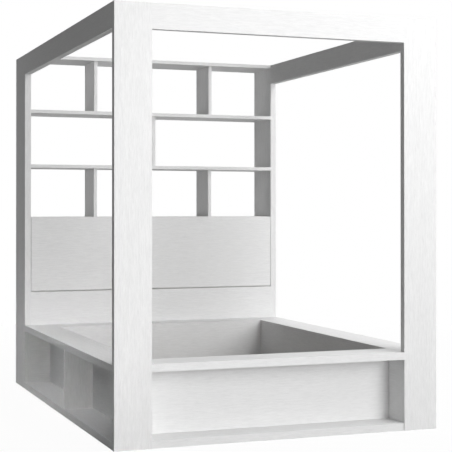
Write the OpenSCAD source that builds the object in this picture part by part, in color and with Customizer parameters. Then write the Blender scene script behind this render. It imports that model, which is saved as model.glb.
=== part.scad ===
/* [Mattress well] */
// Width of the mattress that the well takes
mattress_w = 1600; // [1400:10:1800]
// Length of the mattress that the well takes
mattress_l = 2000; // [1900:10:2200]
// Gap between the mattress and the well wall on each side
side_gap = 1; // [1:1:10]
// Gap between the mattress and the well wall at each end
end_gap = 8; // [2:1:20]
// Height of the slat crowns above the floor
slat_crown_z = 195; // [185:5:230]

/* [Boards] */
// Height of the whole bed
bed_h = 2500; // [2400:10:2700]
// Thickness of the posts, canopy rails, rims, niche floors and bookcase sides
board_t = 45; // [38:1:55]
// Thickness of the shelves and the bookcase top
shelf_t = 25; // [22:1:32]
// Thickness of the well walls and the niche dividers
wall_t = 28; // [22:1:34]
// Thickness of the bookcase dividers and partitions
divider_t = 25; // [16:1:28]
// Thickness of the flap and of the base panel below it
front_t = 22; // [20:1:30]
// Thickness of the compartment's back panel
back_t = 8; // [5:1:12]

/* [Portal and platform] */
// Width of each foot post, and of the rim that lines up with it
post_w = 220; // [180:5:260]
// Height of the canopy beam and rails
beam_h = 148; // [110:2:200]
// Height of the rim's top face above the floor
rim_top_z = 474; // [440:2:520]
// Depth of the ledge between the well and the bookcase
ledge_d = 209; // [150:1:260]
// Setback of the foot niche floor's front edge from the posts' faces
floor_setback = 6; // [0:1:12]
// Clear length of the front niche on each side
front_niche_l = 1141; // [900:1:1300]

/* [Bookcase] */
// Depth of the bookcase
bookcase_d = 343; // [300:1:420]
// Clear height of the top row of cells
top_row_h = 386; // [330:1:420]
// Clear height of the middle row of cells
middle_row_h = 386; // [330:1:420]
// Clear height of the low row of cells
low_row_h = 369; // [330:1:420]
// Clear width of the outer cells in the top and low rows
outer_cell_w = 496; // [400:1:600]
// Setback of the dividers' front edges from the sides' front edges
divider_front_inset = 33; // [0:1:60]
// Setback of the dividers' back edges from the sides' back edges
divider_back_inset = 24; // [0:1:40]

/* [Flap] */
// Height of the flap
flap_h = 558; // [480:1:600]
// Shadow gap at the flap's ends and below it
shadow_gap = 3; // [2:0.5:4]
// Drop of the flap's top edge below the compartment shelf's top face
top_gap = 2; // [1:0.5:4]
// Finger gap between the flap and the compartment shelf
grip_gap = 22; // [18:1:35]
// Diameter of the pivot pins
pivot_pin_d = 8; // [6:0.5:8]
// Outer diameter of the pivot bushes
bush_d = 12; // [11:0.5:13]
// Length of the pivot bushes
bush_l = 18; // [14:1:24]
// Depth of each pivot pin inside the flap
pin_depth = 32; // [25:1:45]
// Diameter of the stop pins
stop_pin_d = 6; // [5:0.5:7]
// Distance from the pivot axis to a stop pin
stop_r = 40; // [36:1:50]
// Thickness of the stop plates and stop arms
plate_t = 3; // [2:0.5:4]

/* [Slat base] */
// Number of slats in each half
slat_count = 15; // [12:1:18]
// Width of a slat
slat_w = 68; // [50:1:80]
// Thickness of a slat
slat_t = 9; // [7:0.5:12]
// Rise of a slat from its ends to its crown
slat_rise = 12; // [8:1:16]
// Wall of the caps that hold the slat ends
cap_t = 4; // [3:0.5:5]
// Length of a slat end inside its cap
cap_grip = 32; // [25:1:34]
// Width of the side cleats
cleat_w = 45; // [42:1:60]
// Height of the side cleats
cleat_h = 45; // [35:1:60]
// Width of the centre beam
centre_beam_w = 100; // [90:2:130]
// Height of the centre beam
centre_beam_h = 60; // [45:1:75]
// Largest diameter of the beam's legs
leg_d = 50; // [44:1:60]

/* [Hidden] */
$fn = 64;
// Clearance of a part that moves or fits beside another
fit = 0.3;
// Clearance all round a pin that turns in its bush
run = 0.1;
// Clearance of a pressed or glued part in its bore, on the diameter
press = 0.2;
// Overshoot of a cut past the face that it opens
over = 1;
// Facets of the wide circles that bend the slats
wide_fn = 720;

well_w = mattress_w + 2 * side_gap;
well_l = mattress_l + 2 * end_gap;
bed_w = well_w + 2 * post_w;
bed_l = post_w + well_l + ledge_d + bookcase_d;

// Planes across the bed, measured from its middle
well_x = well_w / 2;
wall_x = well_x + wall_t;
outer_x = bed_w / 2;
case_x = outer_x - board_t;
divider_x = case_x - outer_cell_w - divider_t / 2;

// Planes along the bed, from the foot to the head
foot_y = -bed_l / 2;
post_back_y = foot_y + board_t;
well_foot_y = foot_y + post_w;
well_head_y = well_foot_y + well_l;
case_y = well_head_y + ledge_d;
head_y = case_y + bookcase_d;
niche_divider_y = post_back_y + front_niche_l;
divider_front_y = case_y + divider_front_inset;
divider_back_y = head_y - divider_back_inset;

// Heights above the floor
rim_low_z = rim_top_z - board_t;
canopy_z = bed_h - beam_h;
upper_shelf_z = bed_h - shelf_t - top_row_h;
middle_shelf_z = upper_shelf_z - shelf_t - middle_row_h;
low_shelf_z = middle_shelf_z - shelf_t - low_row_h;
flap_top_z = low_shelf_z - top_gap;
flap_low_z = flap_top_z - flap_h;
panel_top_z = flap_low_z - shadow_gap;

// The flap turns about the centre of its rounded lower edge
pivot_y = case_y + front_t / 2;
pivot_z = flap_low_z + front_t / 2;
flap_back_y = case_y + front_t;
shelf_front_y = flap_back_y + grip_gap;

// Stop fitting at each end of the flap
slot_w = stop_pin_d + 2 * fit;
slot_depth = 5;
plate_edge = 8;
plate_r = stop_r + slot_w / 2 + plate_edge;
arm_gap = 4;
arm_tab_w = 40;
arm_tab_h = 60;
arm_low = 9;
arm_end_r = 9;
arm_hole_d = 4.5;
// Screw holes in the tab, as shares of its width and height
arm_hole_places = [[0.3, 0.2], [0.3, 0.8], [0.65, 0.5]];
plate_hole_d = 3.5;
plate_hole_r = 0.58 * stop_r;
plate_hole_turns = [20, 70];

// Back panel of the compartment, held in grooves
groove = 8;
back_inset = 20;
back_y = head_y - back_inset - back_t;

// Magnetic catches under the compartment shelf
catch_w = 46;
catch_l = 58;
catch_h = 15;
catch_x = case_x - outer_cell_w / 2;
pole_t = 2.5;
pole_w = 34;
pole_out = 3;
strike_t = 1.5;

// Dowels
dowel_d = 8;
dowel_l = 40;
dowel_in_shelf = 9;
dowel_in_upright = 26;
dowel_ys = [case_y + 0.28 * bookcase_d, head_y - 0.18 * bookcase_d];
canopy_dowel_d = 10;
canopy_dowel_l = 50;
canopy_dowel_zs = [canopy_z + beam_h / 4, bed_h - beam_h / 4];

// Dowels of the platform: how many along each joint, and where
joint_count = 5;
joint_spread = [for (i = [0 : joint_count - 1]) (i + 0.5) / joint_count];
joint_ys = [for (share = joint_spread) post_back_y + share * (case_y - post_back_y)];
joint_xs = [for (share = joint_spread) -well_x + share * well_w];
joint_wall_x = well_x + wall_t / 2;
end_walls = [well_foot_y - wall_t / 2, well_head_y + wall_t / 2];
niche_mid_x = (wall_x + outer_x) / 2;
niche_dowel_offset = 0.27 * (outer_x - wall_x);
corner_dowel_zs = [board_t + 0.3 * (rim_low_z - board_t), board_t + 0.8 * (rim_low_z - board_t)];

// Boards that lie across the bookcase, by the height of their top face
shelf_tops = [bed_h, upper_shelf_z, middle_shelf_z, low_shelf_z, panel_top_z];
// Upright boards in the bookcase: place across, foot height, head height
uprights = [
    [-divider_x, upper_shelf_z, bed_h - shelf_t],
    [divider_x, upper_shelf_z, bed_h - shelf_t],
    [0, middle_shelf_z, upper_shelf_z - shelf_t],
    [-divider_x, low_shelf_z, middle_shelf_z - shelf_t],
    [divider_x, low_shelf_z, middle_shelf_z - shelf_t],
    [-divider_x, panel_top_z, low_shelf_z - shelf_t],
    [divider_x, panel_top_z, low_shelf_z - shelf_t],
    [-divider_x, 0, panel_top_z - shelf_t],
    [divider_x, 0, panel_top_z - shelf_t]
];

// Slats, bent to an arc between a cleat and the centre beam
slat_end_gap = 5;
slat_l = well_x - 2 * slat_end_gap;
slat_r = (pow(slat_l / 2, 2) + pow(slat_rise, 2)) / (2 * slat_rise);
slat_pitch = well_l / slat_count;
slat_ys = [for (i = [0 : slat_count - 1]) well_foot_y + (i + 0.5) * slat_pitch];
cap_l = cap_grip + cap_t;
// Height that a slat gains inside its cap
cap_gain = sqrt(pow(slat_r, 2) - pow(slat_l / 2 - cap_grip, 2)) - (slat_r - slat_rise);
cap_h = slat_t + 2 * cap_t + cap_gain;
cleat_top_z = slat_crown_z - slat_rise - slat_t - cap_t;
cleat_low_z = cleat_top_z - cleat_h;
beam_low_z = cleat_top_z - centre_beam_h;

// Hangers, legs and feet under the centre beam
hanger_t = 3;
hanger_l = 55;
hanger_h = 42;
hanger_wing = 26;
hanger_half = centre_beam_w / 2 + fit;
hanger_screw_x = hanger_half + hanger_t + hanger_wing / 2;
hanger_screw_zs = [beam_low_z + hanger_h / 4, beam_low_z + 3 * hanger_h / 4];
leg_count = 3;
leg_pitch = well_l / (leg_count + 1);
leg_ys = [for (i = [1 : leg_count]) well_foot_y + i * leg_pitch];
foot_d = 42;
foot_h = 8;
collar_d = 20;
collar_h = 5;
leg_taper = 0.76;
foot_rim = 3;
spindle_d = 8;
spindle_l = 26;

// Steel angles in the corners of the well
angle_leg = 60;
angle_t = 3;
angle_h = 55;
angle_drop = 10;
angle_z = cleat_low_z - angle_h - angle_drop;
// Screw holes in each leg, as shares of its length
angle_hole_places = [1 / 3, 4 / 5];

// Batten under the ledge
batten = 32;

// Pan-head screws that hold the angles and the hangers
screw_d = 4;
screw_l = 18;
screw_head_d = 8;
screw_head_h = 2.4;
screw_tip = 4;
screw_recess = 1.2;
screw_hole_d = screw_d + 2 * fit;

// A board or block given by its lowest and highest place along each axis
module slab(x, y, z) {
    translate([x[0], y[0], z[0]])
        cube([x[1] - x[0], y[1] - y[0], z[1] - z[0]]);
}

// What is drawn on the right side, or its mirror image on the left side
module on_side(side) {
    mirror([side < 0 ? 1 : 0, 0, 0])
        children();
}

// A profile in the plane of the bookcase side, drawn out along X
module along_x(x, length) {
    translate([x, 0, 0])
        rotate([90, 0, 90])
            linear_extrude(length)
                children();
}

// Dowels between the bookcase sides and the boards across
module shelf_dowel_set(diameter, length) {
    for (top = shelf_tops, y = dowel_ys, side = [-1, 1])
        translate([side * case_x, y, top - shelf_t / 2])
            rotate([0, 90, 0])
                cylinder(d = diameter, h = length, center = true);
}

// Dowels at the foot and head of each upright board
module upright_dowel_set(diameter, slack) {
    length = dowel_in_shelf + dowel_in_upright + 2 * slack;
    for (board = uprights, y = dowel_ys) {
        if (board[1] > 0)
            translate([board[0], y, board[1] - dowel_in_shelf - slack])
                cylinder(d = diameter, h = length);
        translate([board[0], y, board[2] - dowel_in_upright - slack])
            cylinder(d = diameter, h = length);
    }
}

// Dowels at the ends of the canopy rails and of the foot beam
module canopy_dowel_set(diameter, length) {
    for (side = [-1, 1], z = canopy_dowel_zs) {
        for (y = [post_back_y, case_y])
            translate([side * (outer_x - board_t / 2), y, z])
                rotate([90, 0, 0])
                    cylinder(d = diameter, h = length, center = true);
        translate([side * well_x, foot_y + board_t / 2, z])
            rotate([0, 90, 0])
                cylinder(d = diameter, h = length, center = true);
    }
}

// Dowels of the platform, by the axis that they lie along
module platform_dowel_set(diameter, length) {
    // through the top and bottom edges of the walls and the niche dividers
    for (side = [-1, 1], z = [board_t, rim_low_z]) {
        for (y = joint_ys)
            translate([side * joint_wall_x, y, z])
                cylinder(d = diameter, h = length, center = true);
        for (step = [-1, 1])
            translate([side * (niche_mid_x + step * niche_dowel_offset), niche_divider_y + wall_t / 2, z])
                cylinder(d = diameter, h = length, center = true);
    }
    for (x = joint_xs) {
        translate([x, end_walls[0], board_t])
            cylinder(d = diameter, h = length, center = true);
        for (y = end_walls)
            translate([x, y, rim_low_z])
                cylinder(d = diameter, h = length, center = true);
    }
    // from the rims and floors into the posts and the bookcase sides
    for (side = [-1, 1], z = [board_t / 2, rim_top_z - board_t / 2]) {
        for (step = [-1, 1])
            translate([side * (niche_mid_x + step * niche_dowel_offset), post_back_y, z])
                rotate([90, 0, 0])
                    cylinder(d = diameter, h = length, center = true);
        translate([side * (case_x + board_t / 2), case_y, z])
            rotate([90, 0, 0])
                cylinder(d = diameter, h = length, center = true);
        for (y = [foot_y + board_t / 2, (post_back_y + well_foot_y) / 2])
            translate([side * well_x, y, z])
                rotate([0, 90, 0])
                    cylinder(d = diameter, h = length, center = true);
    }
    // between the ledge and the side rims, and in the corners of the well
    for (side = [-1, 1]) {
        for (share = [1 / 4, 3 / 4])
            translate([side * well_x, well_head_y + share * ledge_d, rim_top_z - board_t / 2])
                rotate([0, 90, 0])
                    cylinder(d = diameter, h = length, center = true);
        for (y = end_walls, z = corner_dowel_zs)
            translate([side * well_x, y, z])
                rotate([0, 90, 0])
                    cylinder(d = diameter, h = length, center = true);
    }
}

// Places something at each screw in the well, with its Z axis pointing out of the wall
module at_well_screws() {
    for (side = [-1, 1], end = [[well_foot_y, 1], [well_head_y, -1]], place = angle_hole_places) {
        translate([side * (well_x - place * angle_leg), end[0] + end[1] * angle_t, angle_z + angle_h / 2])
            rotate([-90 * end[1], 0, 0])
                children();
        translate([side * (well_x - angle_t), end[0] + end[1] * place * angle_leg, angle_z + angle_h / 2])
            rotate([0, -90 * side, 0])
                children();
    }
    for (end = [[well_foot_y, 1], [well_head_y, -1]], side = [-1, 1], z = hanger_screw_zs)
        translate([side * hanger_screw_x, end[0] + end[1] * hanger_t, z])
            rotate([-90 * end[1], 0, 0])
                children();
}

module screw_bores(diameter) {
    at_well_screws()
        translate([0, 0, -screw_l - over])
            cylinder(d = diameter, h = screw_l + 2 * over);
}

module platform_bores() {
    platform_dowel_set(dowel_d + press, dowel_l + 2 * over);
}

module shelf_bores() {
    shelf_dowel_set(dowel_d + press, dowel_l + 2 * over);
}

module upright_bores() {
    upright_dowel_set(dowel_d + press, over);
}

module canopy_bores() {
    canopy_dowel_set(canopy_dowel_d + press, canopy_dowel_l + 2 * over);
}

// Portal at the foot and the rails of the canopy

module foot_post(side) {
    color("whitesmoke")
        difference() {
            on_side(side)
                slab([well_x, outer_x], [foot_y, post_back_y], [0, bed_h]);
            canopy_bores();
            platform_bores();
        }
}

module foot_beam() {
    color("white")
        difference() {
            slab([-well_x, well_x], [foot_y, post_back_y], [canopy_z, bed_h]);
            canopy_bores();
        }
}

module canopy_rail(side) {
    color("white")
        difference() {
            on_side(side)
                slab([case_x, outer_x], [post_back_y, case_y], [canopy_z, bed_h]);
            canopy_bores();
        }
}

// Bookcase at the head

// Outline of the stop plate round the pivot: a quarter disc
module plate_outline(grow) {
    translate([pivot_y, pivot_z])
        intersection() {
            circle(r = plate_r + grow);
            translate([-plate_edge - grow, -plate_edge - grow])
                square(plate_r + plate_edge + 2 * grow);
        }
}

// Quarter-turn slot in which the stop pin travels
module stop_slot_outline() {
    translate([pivot_y, pivot_z]) {
        intersection() {
            difference() {
                circle(r = stop_r + slot_w / 2);
                circle(r = stop_r - slot_w / 2);
            }
            square(2 * stop_r);
        }
        for (end = [[stop_r, 0], [0, stop_r]])
            translate(end)
                circle(d = slot_w);
    }
}

// Seat of the bush, the stop plate and the stop pin's groove in a bookcase side
module pivot_seat() {
    along_x(case_x - over, plate_t + over)
        plate_outline(press / 2);
    along_x(case_x, plate_t + slot_depth)
        stop_slot_outline();
    translate([case_x, pivot_y, pivot_z])
        rotate([0, 90, 0])
            cylinder(d = bush_d, h = bush_l);
}

module back_panel_block(slack) {
    x = case_x + groove - over + slack;
    z = [panel_top_z - groove + over - slack, low_shelf_z - shelf_t + groove - over + slack];
    slab([-x, x], [back_y - slack / 2, back_y + back_t + slack / 2], z);
}

module bookcase_side(side) {
    color("white")
        difference() {
            on_side(side)
                difference() {
                    slab([case_x, outer_x], [case_y, head_y], [0, bed_h]);
                    pivot_seat();
                }
            shelf_bores();
            canopy_bores();
            platform_bores();
            back_panel_block(press);
        }
}

// A board across the bookcase, from its top face down and back from a front plane
module cross_board(top, front) {
    difference() {
        slab([-case_x, case_x], [front, head_y], [top - shelf_t, top]);
        shelf_bores();
        upright_bores();
        back_panel_block(press);
    }
}

module bookcase_top() {
    color("white")
        cross_board(bed_h, case_y);
}

module upper_shelf() {
    color("white")
        cross_board(upper_shelf_z, case_y);
}

module middle_shelf() {
    color("white")
        cross_board(middle_shelf_z, case_y);
}

module compartment_shelf() {
    color("white")
        cross_board(low_shelf_z, shelf_front_y);
}

module compartment_floor() {
    color("white")
        cross_board(panel_top_z, flap_back_y);
}

module compartment_back() {
    color("gainsboro")
        back_panel_block(0);
}

// An upright board of the bookcase, between two planes along the bed
module upright(index, front, back) {
    board = uprights[index];
    color("whitesmoke")
        difference() {
            slab([board[0] - divider_t / 2, board[0] + divider_t / 2], [front, back], [board[1], board[2]]);
            upright_bores();
        }
}

module base_panel() {
    color("white")
        slab([-case_x, case_x], [case_y, flap_back_y], [0, panel_top_z]);
}

// Platform round the mattress well

// A board of the platform with its dowel bores, and screw bores where a fitting sits on it
module platform_board(x, y, z) {
    difference() {
        slab(x, y, z);
        platform_bores();
        screw_bores(screw_d + press);
    }
}

module side_rim_board(side) {
    color("white")
        on_side(side)
            platform_board([well_x, outer_x], [post_back_y, case_y], [rim_low_z, rim_top_z]);
}

module front_rim_board() {
    color("white")
        platform_board([-well_x, well_x], [foot_y, well_foot_y], [rim_low_z, rim_top_z]);
}

module back_ledge_board() {
    color("white")
        platform_board([-well_x, well_x], [well_head_y, case_y], [rim_low_z, rim_top_z]);
}

module ledge_batten() {
    color("burlywood")
        slab([-well_x, well_x], [case_y - batten, case_y], [rim_low_z - batten, rim_low_z]);
}

module side_niche_floor(side) {
    color("white")
        on_side(side)
            platform_board([well_x, outer_x], [post_back_y, case_y], [0, board_t]);
}

module foot_niche_floor() {
    color("white")
        platform_board([-well_x, well_x], [foot_y + floor_setback, well_foot_y], [0, board_t]);
}

module side_well_wall(side) {
    color("whitesmoke")
        on_side(side)
            platform_board([well_x, wall_x], [post_back_y, case_y], [board_t, rim_low_z]);
}

module foot_well_wall() {
    color("whitesmoke")
        platform_board([-well_x, well_x], [well_foot_y - wall_t, well_foot_y], [board_t, rim_low_z]);
}

module head_well_wall() {
    color("whitesmoke")
        platform_board([-well_x, well_x], [well_head_y, well_head_y + wall_t], [0, rim_low_z]);
}

module niche_divider(side) {
    color("white")
        on_side(side)
            platform_board([wall_x, outer_x], [niche_divider_y, niche_divider_y + wall_t],
                [board_t, rim_low_z]);
}

// Slat base

module slat_cleat(side) {
    color("burlywood")
        on_side(side)
            slab([well_x - cleat_w, well_x], [well_foot_y, well_head_y],
                [cleat_low_z, cleat_top_z]);
}

module centre_beam() {
    end = hanger_t + fit;
    color("burlywood")
        slab([-centre_beam_w / 2, centre_beam_w / 2], [well_foot_y + end, well_head_y - end],
            [beam_low_z, cleat_top_z]);
}

// A folded steel shoe at each end of the centre beam, with a wing on each side for screws
module beam_hangers() {
    z = [beam_low_z - hanger_t, beam_low_z + hanger_h];
    wing_x = hanger_half + hanger_t + hanger_wing;
    color("silver")
        difference() {
            for (end = [[well_foot_y, 1], [well_head_y, -1]])
                translate([0, end[0], 0])
                    mirror([0, end[1] < 0 ? 1 : 0, 0]) {
                        difference() {
                            slab([-hanger_half - hanger_t, hanger_half + hanger_t], [0, hanger_l], z);
                            slab([-hanger_half, hanger_half], [hanger_t, hanger_l + over],
                                [beam_low_z, z[1] + over]);
                        }
                        slab([-wing_x, wing_x], [0, hanger_t], [beam_low_z, z[1]]);
                    }
            screw_bores(screw_hole_d);
        }
}

// Turned legs that taper towards the floor
module beam_legs() {
    low = foot_h + collar_h;
    color("burlywood")
        for (y = leg_ys)
            translate([0, y, low])
                difference() {
                    cylinder(d1 = leg_taper * leg_d, d2 = leg_d, h = beam_low_z - low);
                    translate([0, 0, -over])
                        cylinder(d = spindle_d + press, h = spindle_l + 2 * over);
                }
}

module levelling_feet() {
    color("dimgray")
        for (y = leg_ys)
            translate([0, y, 0]) {
                cylinder(d1 = foot_d, d2 = collar_d + 2 * foot_rim, h = foot_h);
                translate([0, 0, foot_h])
                    cylinder(d = collar_d, h = collar_h);
                translate([0, 0, foot_h + collar_h])
                    cylinder(d = spindle_d, h = spindle_l);
            }
}

// Side view of the slat in the right half, grown all round by a clearance
module slat_outline(grow) {
    translate([well_x / 2, slat_crown_z - slat_r])
        intersection() {
            difference() {
                circle(r = slat_r + grow, $fn = wide_fn);
                circle(r = slat_r - slat_t - grow, $fn = wide_fn);
            }
            translate([-slat_l / 2 - grow, 0])
                square([slat_l + 2 * grow, slat_r + 2 * over]);
        }
}

// Slat outlines drawn out over a width at each place along the well
module slat_row(width, grow) {
    for (y = slat_ys)
        translate([0, y + width / 2, 0])
            rotate([90, 0, 0])
                linear_extrude(width)
                    slat_outline(grow);
}

module slats(side) {
    color("lightgray")
        on_side(side)
            slat_row(slat_w, 0);
}

// Caps that close on the slat ends, two for each slat
module slat_caps() {
    half_y = slat_w / 2 + fit + cap_t;
    cap_spans = [
        [slat_end_gap - cap_t, slat_end_gap - cap_t + cap_l],
        [well_x - slat_end_gap + cap_t - cap_l, well_x - slat_end_gap + cap_t]
    ];
    color("dimgray")
        for (side = [-1, 1])
            on_side(side)
                difference() {
                    for (y = slat_ys, span = cap_spans)
                        slab(span, [y - half_y, y + half_y], [cleat_top_z, cleat_top_z + cap_h]);
                    slat_row(slat_w + 2 * fit, fit);
                }
}

// Flap over the compartment, and the fittings that it turns on

module headboard_flap() {
    half = case_x - shadow_gap;
    color("white")
        difference() {
            along_x(-half, 2 * half) {
                translate([case_y, pivot_z])
                    square([front_t, flap_top_z - pivot_z]);
                translate([pivot_y, pivot_z])
                    circle(d = front_t);
            }
            for (side = [-1, 1])
                on_side(side)
                    translate([half - pin_depth, pivot_y, pivot_z])
                        rotate([0, 90, 0])
                            cylinder(d = pivot_pin_d + press, h = pin_depth + over);
        }
}

module pivot_pins() {
    length = pin_depth + shadow_gap + bush_l - 2 * over;
    color("silver")
        for (side = [-1, 1])
            on_side(side)
                translate([case_x - shadow_gap - pin_depth + over, pivot_y, pivot_z])
                    rotate([0, 90, 0])
                        cylinder(d = pivot_pin_d, h = length);
}

module pivot_bushes() {
    color("ivory")
        for (side = [-1, 1])
            on_side(side)
                translate([case_x, pivot_y, pivot_z])
                    rotate([0, 90, 0])
                        difference() {
                            cylinder(d = bush_d, h = bush_l);
                            translate([0, 0, -over])
                                cylinder(d = pivot_pin_d + 2 * run, h = bush_l + 2 * over);
                        }
}

module stop_plates() {
    color("silver")
        for (side = [-1, 1])
            on_side(side)
                along_x(case_x, plate_t)
                    difference() {
                        plate_outline(0);
                        stop_slot_outline();
                        translate([pivot_y, pivot_z])
                            circle(d = bush_d + press);
                        for (turn = plate_hole_turns)
                            translate([pivot_y, pivot_z])
                                rotate(turn)
                                    translate([plate_hole_r, 0])
                                        circle(d = plate_hole_d);
                    }
}

// Side view of a stop arm: a straight back on the flap and a round end at the stop pin
module arm_outline() {
    root_y = front_t / 2;
    top_z = arm_low + arm_tab_h / 2;
    reach = norm([stop_r - root_y, top_z]);
    turn = atan2(top_z, root_y - stop_r) - acos(arm_end_r / reach);
    translate([pivot_y, pivot_z]) {
        polygon([
            [root_y, -arm_low],
            [stop_r, -arm_low],
            [stop_r + arm_end_r * cos(turn), arm_end_r * sin(turn)],
            [root_y, top_z]
        ]);
        translate([stop_r, 0])
            circle(r = arm_end_r);
    }
}

module stop_arms() {
    face_x = case_x - arm_gap;
    tab_low = pivot_z - arm_low;
    color("silver")
        for (side = [-1, 1])
            on_side(side) {
                along_x(face_x - plate_t, plate_t)
                    difference() {
                        arm_outline();
                        translate([pivot_y + stop_r, pivot_z])
                            circle(d = stop_pin_d + press);
                    }
                difference() {
                    slab([face_x - arm_tab_w, face_x], [flap_back_y, flap_back_y + plate_t],
                        [tab_low, tab_low + arm_tab_h]);
                    for (place = arm_hole_places)
                        translate([face_x - arm_tab_w * (1 - place[0]), flap_back_y,
                            tab_low + place[1] * arm_tab_h])
                            rotate([90, 0, 0])
                                cylinder(d = arm_hole_d, h = 2 * plate_t + 2 * over, center = true);
                }
            }
}

module stop_pins() {
    low = case_x - arm_gap - plate_t;
    high = case_x + plate_t + slot_depth - over;
    color("silver")
        for (side = [-1, 1])
            on_side(side)
                translate([low, pivot_y + stop_r, pivot_z])
                    rotate([0, 90, 0])
                        cylinder(d = stop_pin_d, h = high - low);
}

// Catch housings under the shelf, with two pole plates that face the flap
module magnetic_catches() {
    top = low_shelf_z - shelf_t;
    nose_y = flap_back_y + strike_t + fit;
    color("lightgray")
        for (x = [-catch_x, catch_x]) {
            slab([x - catch_w / 2, x + catch_w / 2], [nose_y + pole_out, nose_y + catch_l],
                [top - catch_h, top]);
            for (z = [top - catch_h / 4, top - 3 * catch_h / 4])
                slab([x - pole_w / 2, x + pole_w / 2], [nose_y, nose_y + pole_out],
                    [z - pole_t / 2, z + pole_t / 2]);
        }
}

module strike_plates() {
    top = low_shelf_z - shelf_t;
    color("silver")
        for (x = [-catch_x, catch_x])
            slab([x - catch_w / 2, x + catch_w / 2], [flap_back_y, flap_back_y + strike_t],
                [top - catch_h, top]);
}

// Fittings and dowels

module well_corner_brackets() {
    color("silver")
        difference() {
            for (side = [-1, 1], end = [[well_foot_y, 1], [well_head_y, -1]])
                on_side(side)
                    translate([well_x, end[0], angle_z])
                        mirror([0, end[1] < 0 ? 1 : 0, 0])
                            difference() {
                                slab([-angle_leg, 0], [0, angle_leg], [0, angle_h]);
                                slab([-angle_leg - over, -angle_t], [angle_t, angle_leg + over],
                                    [-over, angle_h + over]);
                            }
            screw_bores(screw_hole_d);
        }
}

// Pan-head screws with a cross recess, for the angles and the hangers
module fitting_screws() {
    recess_w = 0.15 * screw_head_d;
    color("silver")
        at_well_screws()
            difference() {
                rotate_extrude()
                    polygon([
                        [0, -screw_l],
                        [screw_d / 2, screw_tip - screw_l],
                        [screw_d / 2, 0],
                        [screw_head_d / 2, 0],
                        [screw_head_d / 2, screw_head_h / 2],
                        [screw_head_d / 3, screw_head_h],
                        [0, screw_head_h]
                    ]);
                for (turn = [0, 90])
                    rotate(turn)
                        translate([-screw_d / 2, -recess_w / 2, screw_head_h - screw_recess])
                            cube([screw_d, recess_w, screw_recess + over]);
            }
}

module shelf_dowels() {
    color("burlywood")
        shelf_dowel_set(dowel_d, dowel_l);
}

module upright_dowels() {
    color("burlywood")
        upright_dowel_set(dowel_d, 0);
}

module canopy_dowels() {
    color("burlywood")
        canopy_dowel_set(canopy_dowel_d, canopy_dowel_l);
}

module platform_dowels() {
    color("burlywood")
        platform_dowel_set(dowel_d, dowel_l);
}

foot_post(-1);  // left_foot_post
foot_post(1);  // right_foot_post
foot_beam();
canopy_rail(-1);  // left_canopy_rail
canopy_rail(1);  // right_canopy_rail
bookcase_side(-1);  // left_bookcase_side
bookcase_side(1);  // right_bookcase_side
bookcase_top();
upper_shelf();
middle_shelf();
compartment_shelf();
compartment_floor();
compartment_back();
upright(0, divider_front_y, divider_back_y);  // top_left_divider
upright(1, divider_front_y, divider_back_y);  // top_right_divider
upright(2, divider_front_y, divider_back_y);  // middle_divider
upright(3, shelf_front_y, divider_back_y);  // low_left_divider
upright(4, shelf_front_y, divider_back_y);  // low_right_divider
upright(5, shelf_front_y, back_y);  // compartment_left_partition
upright(6, shelf_front_y, back_y);  // compartment_right_partition
upright(7, flap_back_y, head_y);  // base_left_partition
upright(8, flap_back_y, head_y);  // base_right_partition
base_panel();
side_rim_board(-1);  // left_rim_board
side_rim_board(1);  // right_rim_board
front_rim_board();
back_ledge_board();
ledge_batten();
side_niche_floor(-1);  // left_niche_floor
side_niche_floor(1);  // right_niche_floor
foot_niche_floor();
side_well_wall(-1);  // left_well_wall
side_well_wall(1);  // right_well_wall
foot_well_wall();
head_well_wall();
niche_divider(-1);  // left_niche_divider
niche_divider(1);  // right_niche_divider
slat_cleat(-1);  // left_slat_cleat
slat_cleat(1);  // right_slat_cleat
centre_beam();
beam_hangers();
beam_legs();
levelling_feet();
slats(-1);  // left_slats
slats(1);  // right_slats
slat_caps();
headboard_flap();
pivot_pins();
pivot_bushes();
stop_plates();
stop_arms();
stop_pins();
magnetic_catches();
strike_plates();
well_corner_brackets();
fitting_screws();
shelf_dowels();
upright_dowels();
canopy_dowels();
platform_dowels();
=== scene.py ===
import bpy
import bmesh
import math
from mathutils import Matrix, Vector


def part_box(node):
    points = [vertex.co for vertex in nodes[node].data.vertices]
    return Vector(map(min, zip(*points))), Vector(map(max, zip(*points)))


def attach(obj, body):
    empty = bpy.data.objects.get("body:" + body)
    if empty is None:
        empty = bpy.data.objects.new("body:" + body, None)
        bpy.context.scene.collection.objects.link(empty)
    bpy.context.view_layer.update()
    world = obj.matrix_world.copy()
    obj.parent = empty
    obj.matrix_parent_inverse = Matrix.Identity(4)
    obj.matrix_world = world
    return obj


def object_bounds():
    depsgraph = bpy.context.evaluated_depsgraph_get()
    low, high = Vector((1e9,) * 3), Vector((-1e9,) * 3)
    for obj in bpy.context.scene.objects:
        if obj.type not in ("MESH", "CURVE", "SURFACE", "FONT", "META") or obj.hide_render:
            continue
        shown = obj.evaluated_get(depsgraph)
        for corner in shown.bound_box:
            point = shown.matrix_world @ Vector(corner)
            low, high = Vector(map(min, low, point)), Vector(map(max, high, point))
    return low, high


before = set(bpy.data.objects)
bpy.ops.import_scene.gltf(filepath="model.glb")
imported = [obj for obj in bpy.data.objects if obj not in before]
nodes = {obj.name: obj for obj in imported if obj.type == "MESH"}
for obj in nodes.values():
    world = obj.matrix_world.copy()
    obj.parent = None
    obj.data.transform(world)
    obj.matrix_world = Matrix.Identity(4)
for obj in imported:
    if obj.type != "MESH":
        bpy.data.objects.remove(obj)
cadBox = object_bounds()
print("frame loaded:", len(nodes), "parts")


def addObject(name, data):
    made = bpy.data.objects.new(name, data)
    bpy.context.scene.collection.objects.link(made)
    return made


# Camera

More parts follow.
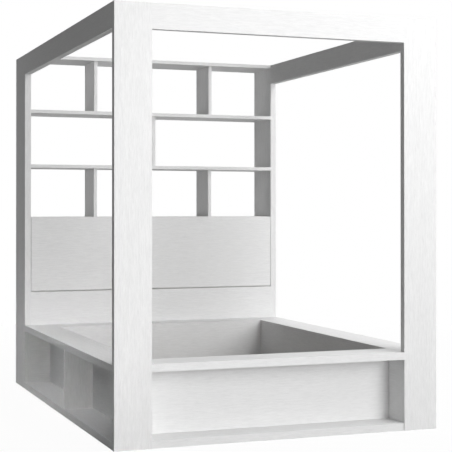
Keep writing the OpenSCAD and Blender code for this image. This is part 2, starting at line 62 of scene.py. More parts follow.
cameraPlan = {
    "place": (-2.8075, -7.7168, 1.3400),  # metres, in the bed's own frame
    "turn": 19.924,  # degrees from straight ahead towards the right
    "tilt": 0.348,  # degrees above level
    "lens": 94.29,  # millimetres, as is the sensor's width
    "sensorWidth": 36,
    "shiftX": 0.0575,
    "shiftY": -0.0527,
    "farLimit": 200,
}


def addCamera(plan):
    camData = bpy.data.cameras.new("photoCamera")
    camData.sensor_width = plan["sensorWidth"]
    camData.lens = plan["lens"]
    camData.shift_x = plan["shiftX"]
    camData.shift_y = plan["shiftY"]
    camData.clip_end = plan["farLimit"]
    cam = addObject("photoCamera", camData)
    cam.location = plan["place"]
    cam.rotation_euler = (math.radians(90 + plan["tilt"]), 0, math.radians(-plan["turn"]))
    bpy.context.scene.camera = cam


addCamera(cameraPlan)
print("camera placed")

# Helpers for node trees


def linkOrSet(tree, socket, value):
    if isinstance(value, bpy.types.NodeSocket):
        tree.links.new(value, socket)
    else:
        socket.default_value = value


def addMath(tree, operation, first, second=0.0):
    node = tree.nodes.new("ShaderNodeMath")
    node.operation = operation
    linkOrSet(tree, node.inputs[0], first)
    linkOrSet(tree, node.inputs[1], second)
    return node.outputs[0]


def addTimes(tree, total, value, factor):
    # total plus value times factor
    return addMath(tree, "ADD", total, addMath(tree, "MULTIPLY", value, factor))


def addVectorMath(tree, operation, first, second):
    node = tree.nodes.new("ShaderNodeVectorMath")
    node.operation = operation
    linkOrSet(tree, node.inputs[0], first)
    linkOrSet(tree, node.inputs["Scale"] if operation == "SCALE" else node.inputs[1], second)
    return node.outputs["Value"] if operation in ("DOT_PRODUCT", "LENGTH") else node.outputs[0]


def addNoise(tree, vector, scale, detail, roughness):
    node = tree.nodes.new("ShaderNodeTexNoise")
    linkOrSet(tree, node.inputs["Scale"], scale)
    node.inputs["Detail"].default_value = detail
    node.inputs["Roughness"].default_value = roughness
    tree.links.new(vector, node.inputs["Vector"])
    return node.outputs["Fac"]


def addCentredNoise(tree, vector, scale, detail, roughness):
    # noise that swings evenly below and above zero
    return addMath(tree, "SUBTRACT", addNoise(tree, vector, scale, detail, roughness), 0.5)


def addRange(tree, value, low, high, newLow=0.0, newHigh=1.0):
    node = tree.nodes.new("ShaderNodeMapRange")
    for index, number in enumerate((low, high, newLow, newHigh), start=1):
        node.inputs[index].default_value = number
    tree.links.new(value, node.inputs[0])
    return node.outputs[0]


def addMix(tree, factor, first, second):
    node = tree.nodes.new("ShaderNodeMix")
    node.data_type = "RGBA"
    linkOrSet(tree, node.inputs[0], factor)
    for socket, value in zip([s for s in node.inputs if s.type == "RGBA"], (first, second)):
        linkOrSet(tree, socket, value)
    return [s for s in node.outputs if s.type == "RGBA"][0]


def mixShaders(tree, factor, first, second, output):
    mix = tree.nodes.new("ShaderNodeMixShader")
    tree.links.new(factor, mix.inputs["Fac"])
    tree.links.new(first.outputs[0], mix.inputs[1])
    tree.links.new(second.outputs[0], mix.inputs[2])
    tree.links.new(mix.outputs[0], output.inputs["Surface"])


def addSeenRay(tree):
    # rays to which floor and background show plain white
    paths = tree.nodes.new("ShaderNodeLightPath")
    first = addMath(tree, "MAXIMUM", paths.outputs["Is Camera Ray"], paths.outputs["Is Glossy Ray"])
    return addMath(tree, "MAXIMUM", first, paths.outputs["Is Transmission Ray"])


# Lights, floor and background

areaLights = {
    # place, aim, width and height in metres, power in watts, beam in degrees
    "keyLight": ((3.2, -7.5, 3.4), (0, 0, 1.2), (4.0, 4.0), 193, 180),
    "lowFrontLight": ((2.0, -8.0, 1.0), (0, 0, 1.0), (3.0, 3.0), 182, 180),
    "topLight": ((2.6, -3.0, 5.5), (0.6, -0.4, 0.4), (2.5, 2.5), 128, 180),
    "backLight": ((2.5, 3.0, 4.5), (0.3, 0.0, 0.4), (2.5, 2.5), 105, 180),
    "rightLight": ((3.0, -1.0, 1.8), (0.6, 0.8, 0.6), (1.5, 1.5), 17, 180),
    "headLight": ((-1.6, -3.6, 3.4), (0.9, 1.2, 1.6), (1.5, 1.5), 11, 180),
    "leftRearLight": ((-3.0, 3.0, 1.0), (-1, 1, 0.8), (1.5, 1.5), 8, 180),
    "leftPostLight": ((-1.0, -4.0, 1.3), (-0.93, -1.39, 1.3), (0.6, 2.6), 4.6, 90),
    "sideNicheFrontLight": ((-3.45, -8.6, 1.4), (-1.06, 0.4, 0.1), (1.0, 1.0), 0.75, 10),
    "sideNicheLowLight": ((-6.05, -0.1, 4.95), (-1.0, 0.0, 0.1), (2.8, 0.6), 0.55, 14.5),
    "sideNicheHighLight": ((-4.2, 0.4, 6.25), (-0.95, 0.4, 0.05), (2.8, 0.5), 1.15, 11),
}
skyLights = {
    # height above the floor, turn away from the foot and spread in degrees, then power
    "frontSky": (8, 0, 35, 0.23),
    "rearSky": (40, 180, 35, 0.2),
    "lowRearSky": (10, 180, 35, 0.6),
}
backdrop = {
    "ambient": 0.0,
    "floorSeen": (0.85, 0.85, 0.85, 1),  # tone that the camera sees under the shadow
    "floorBounce": (0.28, 0.28, 0.28, 1),  # tone that sends light back onto the bed
    "floorSize": 60.0,  # metres, as are the reaches
    "whiteNear": 0.96,  # share of plain white in the floor close to the bed
    "nearReach": 2.0,
    "farReach": 6.0,
    "underEdge": 0.06,  # width of the soft border of the shaded floor under the bed
}


def addAreaLight(name, place, aim, size, power, beam):
    lampData = bpy.data.lights.new(name, "AREA")
    lampData.shape = "ELLIPSE"
    lampData.size, lampData.size_y = size
    lampData.energy = power
    lampData.spread = math.radians(beam)
    lamp = addObject(name, lampData)
    lamp.location = place
    lamp.rotation_euler = (Vector(aim) - Vector(place)).to_track_quat("-Z", "Y").to_euler()


def addSkyLight(name, height, turn, spread, power):
    sunData = bpy.data.lights.new(name, "SUN")
    sunData.energy = power
    sunData.angle = math.radians(spread)
    sun = addObject(name, sunData)
    sun.rotation_euler = (math.radians(90 - height), 0, math.radians(turn))


def addWorld(plan):
    world = bpy.data.worlds.new("studioWorld")
    bpy.context.scene.world = world
    world.use_nodes = True
    tree = world.node_tree
    tree.nodes.clear()
    soft = tree.nodes.new("ShaderNodeBackground")
    soft.inputs["Strength"].default_value = plan["ambient"]
    white = tree.nodes.new("ShaderNodeBackground")
    for background in (soft, white):
        background.inputs["Color"].default_value = (1, 1, 1, 1)
    output = tree.nodes.new("ShaderNodeOutputWorld")
    mixShaders(tree, addSeenRay(tree), soft, white, output)


def makeFloorPaint(plan):
    paint = bpy.data.materials.new("studioFloor")
    paint.use_nodes = True
    tree = paint.node_tree
    tree.nodes.clear()
    seen = addSeenRay(tree)
    pale = tree.nodes.new("ShaderNodeBsdfDiffuse")
    tone = addMix(tree, seen, plan["floorBounce"], plan["floorSeen"])
    tree.links.new(tone, pale.inputs["Color"])
    white = tree.nodes.new("ShaderNodeEmission")
    white.inputs["Strength"].default_value = 1.0
    place = tree.nodes.new("ShaderNodeTexCoord").outputs["Object"]
    reach = addVectorMath(tree, "LENGTH", place, (0, 0, 0))
    share = addRange(tree, reach, plan["nearReach"], plan["farReach"], plan["whiteNear"], 1.0)
    # the floor under the bed shows no plain white, only its real shade
    parts = tree.nodes.new("ShaderNodeSeparateXYZ")
    tree.links.new(place, parts.inputs[0])
    outside = 0.0
    for axis in (0, 1):
        edge = cadBox[1][axis]
        away = addMath(tree, "ABSOLUTE", parts.outputs[axis])
        beyond = addRange(tree, away, edge - plan["underEdge"], edge)
        outside = addMath(tree, "MAXIMUM", beyond, outside)
    share = addMath(tree, "MULTIPLY", share, outside)
    output = tree.nodes.new("ShaderNodeOutputMaterial")
    mixShaders(tree, addMath(tree, "MULTIPLY", seen, share), pale, white, output)
    return paint


def addFloor(plan):
    half = plan["floorSize"] / 2
    mesh = bpy.data.meshes.new("studioFloor")
    corners = [(-half, -half, 0), (half, -half, 0), (half, half, 0), (-half, half, 0)]
    mesh.from_pydata(corners, [], [(0, 1, 2, 3)])
    mesh.materials.append(makeFloorPaint(plan))
    floor = addObject("studioFloor", mesh)


for lampName, lampPlan in areaLights.items():
    addAreaLight(lampName, *lampPlan)
for lampName, lampPlan in skyLights.items():
    addSkyLight(lampName, *lampPlan)
addWorld(backdrop)
addFloor(backdrop)
bpy.context.scene.view_settings.view_transform = "Standard"
print("studio lit")

# Shared effects, as shader node groups


def newGroup(name, inputs, outputs):
    group = bpy.data.node_groups.new(name, "ShaderNodeTree")
    for socketName, kind, value in inputs:
        socket = group.interface.new_socket(
            name=socketName, in_out="INPUT", socket_type="NodeSocket" + kind)
        socket.default_value = value
    for socketName, kind in outputs:
        group.interface.new_socket(
            name=socketName, in_out="OUTPUT", socket_type="NodeSocket" + kind)
    given = group.nodes.new("NodeGroupInput").outputs
    result = group.nodes.new("NodeGroupOutput").inputs
    return group, given, result


placeShares = (1.0, 1.7, 2.3)  # how much of the shift goes along each axis


def makePlaceGroup():
    # each board shows its own stretch of the pattern
    group, given, result = newGroup("boardPlace", [("Shift", "Float", 7.0)], [("Place", "Vector")])
    place = group.nodes.new("ShaderNodeTexCoord").outputs["Object"]
    lot = group.nodes.new("ShaderNodeObjectInfo").outputs["Random"]
    moved = addMath(group, "MULTIPLY", lot, given["Shift"])
    shift = group.nodes.new("ShaderNodeCombineXYZ")
    for axis, share in enumerate(placeShares):
        group.links.new(addMath(group, "MULTIPLY", moved, share), shift.inputs[axis])
    group.links.new(addVectorMath(group, "ADD", place, shift.outputs[0]), result["Place"])
    return group


grainPattern = {
    # each layer's scale, detail and roughness
    "drift": (2.6, 1.0, 0.5),
    "bands": (28.0, 2.0, 0.5),
    "streaks": (130.0, 3.0, 0.6),
    "threads": (330.0, 2.0, 0.6),
    "pores": (900.0, 1.0, 0.5),
    "poreRange": (0.6, 0.74),
    # each layer's share in the tone, where the streaks count in full
    "bandTone": 0.2,
    "threadTone": 0.7,
    "poreTone": -0.22,
    "toneRoughness": 0.16,  # how much the tone changes the roughness
    # each layer's share in the height
    "streakHeight": 0.6,
    "threadHeight": 0.5,
    "poreHeight": -0.45,
}


def makeGrainGroup(plan):
    # wood grain pressed into a laminate: wavering bands, fine streaks and short pores
    group, given, result = newGroup("laminateGrain", [
        ("Place", "Vector", (0, 0, 0)),
        ("Stretch", "Vector", (1, 1, 1)),
        ("Tone", "Color", (0.8, 0.8, 0.8, 1)),
        ("Contrast", "Float", 0.05),
        ("Roughness", "Float", 0.4),
        ("Waver", "Float", 0.012),
    ], [("Colour", "Color"), ("Roughness", "Float"), ("Height", "Float")])
    drift = addCentredNoise(group, given["Place"], *plan["drift"])
    reach = addMath(group, "MULTIPLY", drift, given["Waver"])
    waver = addVectorMath(group, "SCALE", (1, 1, 1), reach)
    bent = addVectorMath(group, "ADD", given["Place"], waver)
    along = addVectorMath(group, "MULTIPLY", bent, given["Stretch"])
    bands = addCentredNoise(group, along, *plan["bands"])
    streaks = addCentredNoise(group, along, *plan["streaks"])
    threads = addCentredNoise(group, along, *plan["threads"])
    pores = addRange(group, addNoise(group, along, *plan["pores"]), *plan["poreRange"])
    total = addTimes(group, streaks, bands, plan["bandTone"])
    total = addTimes(group, total, threads, plan["threadTone"])
    total = addTimes(group, total, pores, plan["poreTone"])
    gain = addTimes(group, 1.0, total, given["Contrast"])
    group.links.new(addVectorMath(group, "SCALE", given["Tone"], gain), result["Colour"])
    roughness = addTimes(group, given["Roughness"], total, plan["toneRoughness"])
    group.links.new(roughness, result["Roughness"])
    height = addMath(group, "MULTIPLY", streaks, plan["streakHeight"])
    height = addTimes(group, height, threads, plan["threadHeight"])
    height = addTimes(group, height, pores, plan["poreHeight"])
    group.links.new(height, result["Height"])
    return group


ringPattern = {
    "sway": (9.0, 2.0, 0.5),  # scale, detail and roughness, as for the fibres
    "swayReach": 0.05,
    "heart": (0.031, 0.027, 0.038),  # from the middle of the rings to the board, in metres
    "lateSharpness": 2.4,
    "lateTone": 0.7,
    "lateHeight": 0.6,
    "fibres": (700.0, 2.0, 0.6),
    "fibreTone": (0.35, 0.7, 0.0, 0.3),
}


def makeRingGroup(plan):
    # year rings of sawn softwood, seen along the given long axis, with darker late wood
    group, given, result = newGroup("softwoodRings", [
        ("Place", "Vector", (0, 0, 0)),
        ("Stretch", "Vector", (1, 1, 1)),
        ("Pale", "Color", (0.7, 0.5, 0.3, 1)),
        ("Dark", "Color", (0.5, 0.32, 0.17, 1)),
        ("Ring Width", "Float", 0.004),
    ], [("Colour", "Color"), ("Height", "Float")])
    along = addVectorMath(group, "MULTIPLY", given["Place"], given["Stretch"])
    sway = addMath(group, "MULTIPLY", addNoise(group, along, *plan["sway"]), plan["swayReach"])
    fromHeart = addVectorMath(group, "ADD", along, plan["heart"])
    radius = addVectorMath(group, "LENGTH", fromHeart, (0, 0, 0))
    rings = addMath(group, "DIVIDE", addMath(group, "ADD", radius, sway), given["Ring Width"])
    late = addMath(group, "POWER", addMath(group, "FRACT", rings), plan["lateSharpness"])
    fibres = addNoise(group, along, *plan["fibres"])
    fibreTone = addRange(group, fibres, *plan["fibreTone"])
    tone = addTimes(group, fibreTone, late, plan["lateTone"])
    group.links.new(addMix(group, tone, given["Pale"], given["Dark"]), result["Colour"])
    group.links.new(addTimes(group, fibres, late, plan["lateHeight"]), result["Height"])
    return group


skinPattern = {
    "fine": (2.0, 0.6),  # detail and roughness; each material sets the fineness
    "fineTone": (0.3, 0.7, 0.97, 1.03),
    "cloud": (45.0, 3.0, 0.5),
    "cloudRange": (0.3, 0.7, -1.0, 1.0),
}


def makeSkinGroup(plan):
    # fine spark-eroded texture and slight clouding of moulded plastic or lacquer
    group, given, result = newGroup("mouldedSkin", [
        ("Place", "Vector", (0, 0, 0)),
        ("Tone", "Color", (0.5, 0.5, 0.5, 1)),
        ("Fineness", "Float", 1800.0),
        ("Roughness", "Float", 0.5),
        ("Clouding", "Float", 0.04),
    ], [("Colour", "Color"), ("Roughness", "Float"), ("Height", "Float")])
    fine = addNoise(group, given["Place"], given["Fineness"], *plan["fine"])
    cloud = addRange(group, addNoise(group, given["Place"], *plan["cloud"]), *plan["cloudRange"])
    clouding = addMath(group, "MULTIPLY", cloud, given["Clouding"])
    gain = addMath(group, "ADD", clouding, addRange(group, fine, *plan["fineTone"]))
    group.links.new(addVectorMath(group, "SCALE", given["Tone"], gain), result["Colour"])
    roughness = addMath(group, "ADD", given["Roughness"], clouding)
    group.links.new(roughness, result["Roughness"])
    group.links.new(fine, result["Height"])
    return group


zincPattern = {
    "spangle": 160.0,
    "spangleTone": (0.2, 0.8, 0.9, 1.04),
    "spangleRoughness": (0.2, 0.8, -0.04, 0.04),
    "grey": (0.33, 0.33, 0.33),  # shares of red, green and blue
    "rollStretch": (1, 1, 0.06),
    "rolled": (1500.0, 2.0, 0.5),
    "rolledTone": (0.3, 0.7, -0.03, 0.03),
    "dull": (70.0, 3.0, 0.5),
    "dullRoughness": (0.35, 0.7, -0.06, 0.16),
}


def makeZincGroup(plan):
    # zinc plating: soft spangle, rolling marks and dull spots
    group, given, result = newGroup("zincPlating", [
        ("Place", "Vector", (0, 0, 0)),
        ("Tone", "Color", (0.7, 0.71, 0.73, 1)),
        ("Roughness", "Float", 0.32),
    ], [("Colour", "Color"), ("Roughness", "Float"), ("Height", "Float")])
    cells = group.nodes.new("ShaderNodeTexVoronoi")
    cells.inputs["Scale"].default_value = plan["spangle"]
    group.links.new(given["Place"], cells.inputs["Vector"])
    spangle = addVectorMath(group, "DOT_PRODUCT", cells.outputs["Color"], plan["grey"])
    along = addVectorMath(group, "MULTIPLY", given["Place"], plan["rollStretch"])
    rolled = addNoise(group, along, *plan["rolled"])
    dull = addNoise(group, given["Place"], *plan["dull"])
    gain = addMath(group, "ADD", addRange(group, spangle, *plan["spangleTone"]),
                   addRange(group, rolled, *plan["rolledTone"]))
    group.links.new(addVectorMath(group, "SCALE", given["Tone"], gain), result["Colour"])
    roughness = addMath(group, "ADD", given["Roughness"],
                        addRange(group, dull, *plan["dullRoughness"]))
    roughness = addMath(group, "ADD", roughness,
                        addRange(group, spangle, *plan["spangleRoughness"]))
    group.links.new(roughness, result["Roughness"])
    group.links.new(rolled, result["Height"])
    return group


groups = {
    "place": makePlaceGroup(),
    "grain": makeGrainGroup(grainPattern),
    "rings": makeRingGroup(ringPattern),
    "skin": makeSkinGroup(skinPattern),
    "zinc": makeZincGroup(zincPattern),
}


def makeMaterial(name, groupName, values, plan):
    # a Principled shader that takes what the group of that name gives, with its bump
    material = bpy.data.materials.new(name)
    material.use_nodes = True
    tree = material.node_tree
    shader = tree.nodes["Principled BSDF"]
    place = tree.nodes.new("ShaderNodeGroup")
    place.node_tree = groups["place"]
    effect = tree.nodes.new("ShaderNodeGroup")
    effect.node_tree = groups[groupName]
    for socketName, value in values.items():
        effect.inputs[socketName].default_value = value
    if "Roughness" in effect.inputs:
        effect.inputs["Roughness"].default_value = plan["roughness"]
        tree.links.new(effect.outputs["Roughness"], shader.inputs["Roughness"])
    else:
        shader.inputs["Roughness"].default_value = plan["roughness"]
    tree.links.new(place.outputs["Place"], effect.inputs["Place"])
    tree.links.new(effect.outputs["Colour"], shader.inputs["Base Color"])
    shader.inputs["Specular IOR Level"].default_value = plan["specular"]
    shader.inputs["Metallic"].default_value = plan.get("metallic", 0.0)
    bump = tree.nodes.new("ShaderNodeBump")
    bump.inputs["Distance"].default_value = plan["bumpDistance"]
    bump.inputs["Strength"].default_value = plan["bumpStrength"]
    tree.links.new(effect.outputs["Height"], bump.inputs["Height"])
    tree.links.new(bump.outputs[0], shader.inputs["Normal"])
    return material


def stretched(axis, share):
    # draws a pattern out along one axis
    factors = [1.0, 1.0, 1.0]
    factors[axis] = share
    return factors


easing = {"segments": 2, "angle": 40}  # of the rounded edges; edges flatter than the angle stay


def easeEdges(nodeName, width, bandIndex=-1):
    # bandIndex is the slot of the material on the rounded edge, or -1 for that of its neighbours
    bevel = nodes[nodeName].modifiers.new("easedEdge", "BEVEL")
    bevel.width = width
    bevel.segments = easing["segments"]
    bevel.limit_method = "ANGLE"
    bevel.angle_limit = math.radians(easing["angle"])
    bevel.harden_normals = True
    bevel.material = bandIndex


def dress(nodeName, *materials):
    mesh = nodes[nodeName].data
    mesh.materials.clear()
    for material in materials:
        mesh.materials.append(material)


# White laminate, one material for each direction of the grain

laminate = {
    "tone": (0.8, 0.8, 0.8, 1),
    "roughness": 0.62,
    "specular": 0.1,
    "bumpDistance": 0.0005,
    "bumpStrength": 0.15,
    "along": 0.1,  # how much the pattern is drawn out along the grain
    "easedEdge": 0.0007,  # metres
}


def makeLaminate(name, grainAxis, contrast):
    return makeMaterial(name, "grain", {
        "Stretch": stretched(grainAxis, laminate["along"]),
        "Tone": laminate["tone"],
        "Contrast": contrast,
    }, laminate)


def makeMoulded(name, plan):
    return makeMaterial(name, "skin", {
        "Tone": plan["tone"],
        "Fineness": plan["fineness"],
        "Clouding": plan["clouding"],
    }, plan)


# Band on the eased edges of the boards

edgeBand = {
    "tone": (0.79, 0.79, 0.79, 1),
    "fineness": 900.0,
    "clouding": 0.02,
    "roughness": 0.5,
    "specular": 0.1,
    "bumpDistance": 0.0002,
    "bumpStrength": 0.1,
}

# Boards, by the direction of their grain

boards = {
    "upright": {"axis": 2, "contrast": 0.22, "parts": [
        "left_foot_post", "right_foot_post", "left_bookcase_side", "right_bookcase_side",
        "top_left_divider", "top_right_divider", "middle_divider",
        "low_left_divider", "low_right_divider",
        "compartment_left_partition", "compartment_right_partition",
        "base_left_partition", "base_right_partition",
        "left_niche_divider", "right_niche_divider",
    ]},
    "across": {"axis": 0, "contrast": 0.18, "parts": [
        "foot_beam", "bookcase_top", "upper_shelf", "middle_shelf",
        "compartment_shelf", "compartment_floor", "base_panel", "headboard_flap",
        "front_rim_board", "back_ledge_board", "foot_niche_floor",
        "foot_well_wall", "head_well_wall",
    ]},
    "lengthwise": {"axis": 1, "contrast": 0.18, "parts": [
        "left_canopy_rail", "right_canopy_rail", "left_rim_board", "right_rim_board",
        "left_niche_floor", "right_niche_floor", "left_well_wall", "right_well_wall",
    ]},
}
bandMaterial = makeMoulded("laminateEdgeBand", edgeBand)
for grainName, plan in boards.items():
    boardLaminate = makeLaminate("whiteLaminate_" + grainName, plan["axis"], plan["contrast"])
    for boardName in plan["parts"]:
        dress(boardName, boardLaminate, bandMaterial)
        easeEdges(boardName, laminate["easedEdge"], 1)
print("boards dressed")

# Back panel of the compartment: lacquered fibreboard

backPanel = {
    "tone": (0.8, 0.8, 0.8, 1),
    "fineness": 420.0,
    "clouding": 0.01,
    "roughness": 0.42,
    "specular": 0.3,
    "bumpDistance": 0.0002,
    "bumpStrength": 0.15,
    "easedEdge": 0.0005,
}
dress("compartment_back", makeMoulded("lacqueredPanel", backPanel))
easeEdges("compartment_back", backPanel["easedEdge"])

# Softwood of the slat base and the dowels

softwood = {
    "pale": (0.66, 0.47, 0.27, 1),
    "dark": (0.47, 0.29, 0.14, 1),
    "ringWidth": 0.0042,
    "along": 0.03,
    "roughness": 0.6,
    "specular": 0.3,
    "bumpDistance": 0.0004,
    "bumpStrength": 0.25,
    "easedEdge": 0.0015,
    # long axis of each part
    "beams": {"left_slat_cleat": 1, "right_slat_cleat": 1, "centre_beam": 1, "beam_legs": 2,
              "ledge_batten": 0},
    "dowels": {"shelf_dowels": 0, "upright_dowels": 2, "canopy_dowels": 1, "platform_dowels": 2},
}
softwoods = {}
for axis in (0, 1, 2):
    softwoods[axis] = makeMaterial("planedSoftwood_" + "XYZ"[axis], "rings", {
        "Stretch": stretched(axis, softwood["along"]),
        "Pale": softwood["pale"],
        "Dark": softwood["dark"],
        "Ring Width": softwood["ringWidth"],
    }, softwood)
for nodeName, axis in softwood["beams"].items():
    dress(nodeName, softwoods[axis])
    easeEdges(nodeName, softwood["easedEdge"])
for nodeName, axis in softwood["dowels"].items():
    dress(nodeName, softwoods[axis])

# Slats of bent birch veneers in a pale grey foil, with the bare layers on their long edges

slat = {
    "foil": (0.36, 0.36, 0.355, 1),
    "foilContrast": 0.14,
    "foilAlong": 0.05,
    "veneer": (0.62, 0.46, 0.29, 1),
    "glue": (0.3, 0.19, 0.1, 1),
    "layer": 0.0015,  # metres, as are half span, crown and radius
    "glueShare": 0.16,
    "edgeTurn": (0.6, 0.8),  # how far a face looks along the bed before it counts as an edge
    "halfSpan": 0.4005,
    "crown": 0.195,
    "radius": 6.5235,
    "roughness": 0.42,
    "specular": 0.4,
    "bumpDistance": 0.0003,
    "bumpStrength": 0.2,
    "easedEdge": 0.001,
}


def makeSlatFoil(plan):
    material = makeMaterial("foiledSlat", "grain", {
        "Stretch": stretched(0, plan["foilAlong"]),
        "Tone": plan["foil"],
        "Contrast": plan["foilContrast"],
    }, plan)
    tree = material.node_tree
    baseColor = tree.nodes["Principled BSDF"].inputs["Base Color"]
    foil = baseColor.links[0].from_socket
    surface = tree.nodes.new("ShaderNodeTexCoord")
    place = tree.nodes.new("ShaderNodeSeparateXYZ")
    tree.links.new(surface.outputs["Object"], place.inputs[0])
    turned = tree.nodes.new("ShaderNodeSeparateXYZ")
    tree.links.new(surface.outputs["Normal"], turned.inputs[0])
    # depth below the bent top face, counted in veneers
    across = addMath(tree, "ABSOLUTE", place.outputs["X"])
    across = addMath(tree, "SUBTRACT", across, plan["halfSpan"])
    above = addMath(tree, "SUBTRACT", place.outputs["Z"], plan["crown"] - plan["radius"])
    square = addTimes(tree, addMath(tree, "MULTIPLY", across, across), above, above)
    depth = addMath(tree, "SUBTRACT", plan["radius"], addMath(tree, "SQRT", square))
    count = addMath(tree, "DIVIDE", depth, plan["layer"])
    glue = addRange(tree, addMath(tree, "FRACT", count),
                    plan["glueShare"], 2 * plan["glueShare"], 1.0, 0.0)
    veneers = addMix(tree, glue, plan["veneer"], plan["glue"])
    edge = addRange(tree, addMath(tree, "ABSOLUTE", turned.outputs["Y"]), *plan["edgeTurn"])
    tree.links.new(addMix(tree, edge, foil, veneers), baseColor)
    return material


slatFoil = makeSlatFoil(slat)
for nodeName in ("left_slats", "right_slats"):
    dress(nodeName, slatFoil)
    easeEdges(nodeName, slat["easedEdge"])
print("slat base dressed")

# Plastics

plasticSkin = {
    "fineness": 1800.0,
    "clouding": 0.04,
    "roughness": 0.48,
    "specular": 0.45,
    "bumpDistance": 0.0002,
    "bumpStrength": 0.25,
}
plastics = {
    "slat_caps": {"tone": (0.045, 0.045, 0.048, 1), "easedEdge": 0.0008},
    "levelling_feet": {"tone": (0.05, 0.05, 0.052, 1), "easedEdge": 0.001},
    "pivot_bushes": {"tone": (0.72, 0.69, 0.6, 1), "easedEdge": 0.0004},
    "magnetic_catches": {"tone": (0.8, 0.8, 0.79, 1), "easedEdge": 0.0006},
}
for nodeName, plan in plastics.items():
    dress(nodeName, makeMoulded("moulded_" + nodeName, {**plasticSkin, **plan}))
    easeEdges(nodeName, plan["easedEdge"])

# Zinc plated steel

steel = {
    "tone": (0.66, 0.67, 0.69, 1),
    "roughness": 0.32,
    "specular": 0.5,
    "metallic": 1.0,
    "bumpDistance": 0.0001,
    "bumpStrength": 0.15,
    "easedEdge": 0.0004,
    "plates": ("beam_hangers", "stop_plates", "stop_arms", "strike_plates",
               "well_corner_brackets"),
    "pins": ("stop_pins", "pivot_pins", "fitting_screws"),
}
zincMaterial = makeMaterial("zincSteel", "zinc", {"Tone": steel["tone"]}, steel)
for nodeName in steel["plates"] + steel["pins"]:
    dress(nodeName, zincMaterial)
for nodeName in steel["plates"]:
    easeEdges(nodeName, steel["easedEdge"])
print("plastics and steel dressed")

# Small screws of the flap fittings, the catches and the cleats

screwHead = {
    "sides": 28,
    # radius and height of the dome's rings, as shares of the head's width and height
    "dome": ((0.5, 0.0), (0.5, 0.45), (0.44, 0.85), (0.34, 1.0)),
    # cross recess: reach and half width of its arms, size and height of its floor, as shares
    "reach": 0.26,
    "halfWidth": 0.06,
    "floorSize": 0.7,
    "floorHeight": 0.35,
}
screws = {
    # width and height of the head in metres, as are all places
    "armScrews": {
        "body": "flap", "head": 0.0076, "height": 0.0022,
        "sheet": 0.003,  # thickness of the arm's tab
        # in from the tab's outer side and up from its lower edge
        "places": ((0.028, 0.012), (0.028, 0.048), (0.014, 0.030)),
    },
    "strikeScrews": {"body": "flap", "head": 0.0048, "height": 0.0005, "offset": 0.0202},
    "plateScrews": {
        "body": "bed_frame", "head": 0.0062, "height": 0.0004,
        "sheet": 0.003,
        "radius": 0.0232,  # from the pivot
        "turns": (20, 70),  # degrees above level
    },
    "catchScrews": {
        "body": "bed_frame", "head": 0.0066, "height": 0.0018,
        "inset": 0.023,  # from the strike plate's outer end to the middle of the catch
        "offset": 0.014,
    },
    "cleatScrews": {"body": "bed_frame", "head": 0.0092, "height": 0.0026, "count": 7},
}


def addScrewHead(mesh, headWidth, headHeight, placing):
    # a domed head with a cross recess, looking along its own Z axis
    sides = screwHead["sides"]
    rings = []
    for radius, height in screwHead["dome"]:
        ring = []
        for step in range(sides):
            angle = 2 * math.pi * step / sides
            ring.append(mesh.verts.new(placing @ Vector((
                radius * headWidth * math.cos(angle),
                radius * headWidth * math.sin(angle),
                height * headHeight))))
        rings.append(ring)
    for low, high in zip(rings, rings[1:]):
        for step in range(sides):
            after = (step + 1) % sides
            mesh.faces.new((low[step], low[after], high[after], high[step]))
    arm, half = screwHead["reach"] * headWidth, screwHead["halfWidth"] * headWidth
    corners = [(half, half), (half, arm), (-half, arm), (-half, half),
               (-arm, half), (-arm, -half), (-half, -half), (-half, -arm),
               (half, -arm), (half, -half), (arm, -half), (arm, half)]
    taper, floorHeight = screwHead["floorSize"], screwHead["floorHeight"] * headHeight
    rim = [mesh.verts.new(placing @ Vector((x, y, headHeight))) for x, y in corners]
    pit = [mesh.verts.new(placing @ Vector((taper * x, taper * y, floorHeight)))
           for x, y in corners]
    edges = []
    for ring in (rings[-1], rim):
        for step, vert in enumerate(ring):
            after = ring[(step + 1) % len(ring)]
            edges.append(mesh.edges.get((vert, after)) or mesh.edges.new((vert, after)))
    bmesh.ops.triangle_fill(mesh, use_beauty=True, use_dissolve=False, edges=edges)
    for step in range(len(corners)):
        after = (step + 1) % len(corners)
        mesh.faces.new((rim[after], rim[step], pit[step], pit[after]))
    mesh.faces.new(pit)


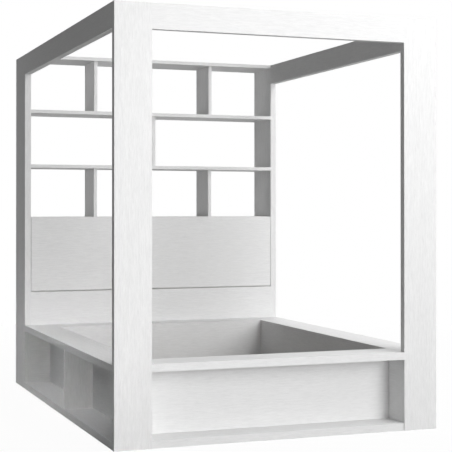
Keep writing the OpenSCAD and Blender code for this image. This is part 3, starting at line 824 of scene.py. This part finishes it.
def addScrews(name, places):
    # places holds the point where each head sits and the direction that it looks
    plan = screws[name]
    mesh = bmesh.new()
    for point, direction in places:
        turn = Vector(direction).to_track_quat("Z", "Y").to_matrix().to_4x4()
        addScrewHead(mesh, plan["head"], plan["height"], Matrix.Translation(point) @ turn)
    bmesh.ops.recalc_face_normals(mesh, faces=mesh.faces)
    data = bpy.data.meshes.new(name)
    mesh.to_mesh(data)
    mesh.free()
    data.materials.append(zincMaterial)
    piece = addObject(name, data)
    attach(piece, plan["body"])


def mirrored(points, direction):
    # each point and its twin on the bed's left side, with the direction that its screw looks
    dx, dy, dz = direction
    places = []
    for x, y, z in points:
        places += [((x, y, z), (dx, dy, dz)), ((-x, y, z), (-dx, dy, dz))]
    return places


armLow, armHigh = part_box("stop_arms")
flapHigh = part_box("headboard_flap")[1]
tabBack = flapHigh.y + screws["armScrews"]["sheet"]
addScrews("armScrews", mirrored([
    (armHigh.x - inset, tabBack, armLow.z + rise) for inset, rise in screws["armScrews"]["places"]
], (0, 1, 0)))

strikeLow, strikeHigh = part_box("strike_plates")
strikeZ = (strikeLow.z + strikeHigh.z) / 2
catchX = strikeHigh.x - screws["catchScrews"]["inset"]
strikeOffset = screws["strikeScrews"]["offset"]
addScrews("strikeScrews", mirrored([
    (catchX + step, strikeHigh.y, strikeZ) for step in (-strikeOffset, strikeOffset)
], (0, 1, 0)))

pinLow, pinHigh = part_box("pivot_pins")
pivot = ((pinLow + pinHigh) / 2).yz
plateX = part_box("stop_plates")[1].x - screws["plateScrews"]["sheet"]
plateRadius = screws["plateScrews"]["radius"]
addScrews("plateScrews", mirrored([
    (plateX,
     pivot[0] + plateRadius * math.cos(math.radians(turn)),
     pivot[1] + plateRadius * math.sin(math.radians(turn)))
    for turn in screws["plateScrews"]["turns"]
], (-1, 0, 0)))

catchLow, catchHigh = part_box("magnetic_catches")
catchY = (catchLow.y + catchHigh.y) / 2
catchOffset = screws["catchScrews"]["offset"]
addScrews("catchScrews", mirrored([
    (catchX + step, catchY, catchLow.z) for step in (-catchOffset, catchOffset)
], (0, 0, -1)))

cleatLow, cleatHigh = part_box("right_slat_cleat")
cleatLength = cleatHigh.y - cleatLow.y
cleatZ = (cleatLow.z + cleatHigh.z) / 2
cleatCount = screws["cleatScrews"]["count"]
addScrews("cleatScrews", mirrored([
    (cleatLow.x, cleatLow.y + cleatLength * (step + 0.5) / cleatCount, cleatZ)
    for step in range(cleatCount)
], (-1, 0, 0)))
print("screws added")
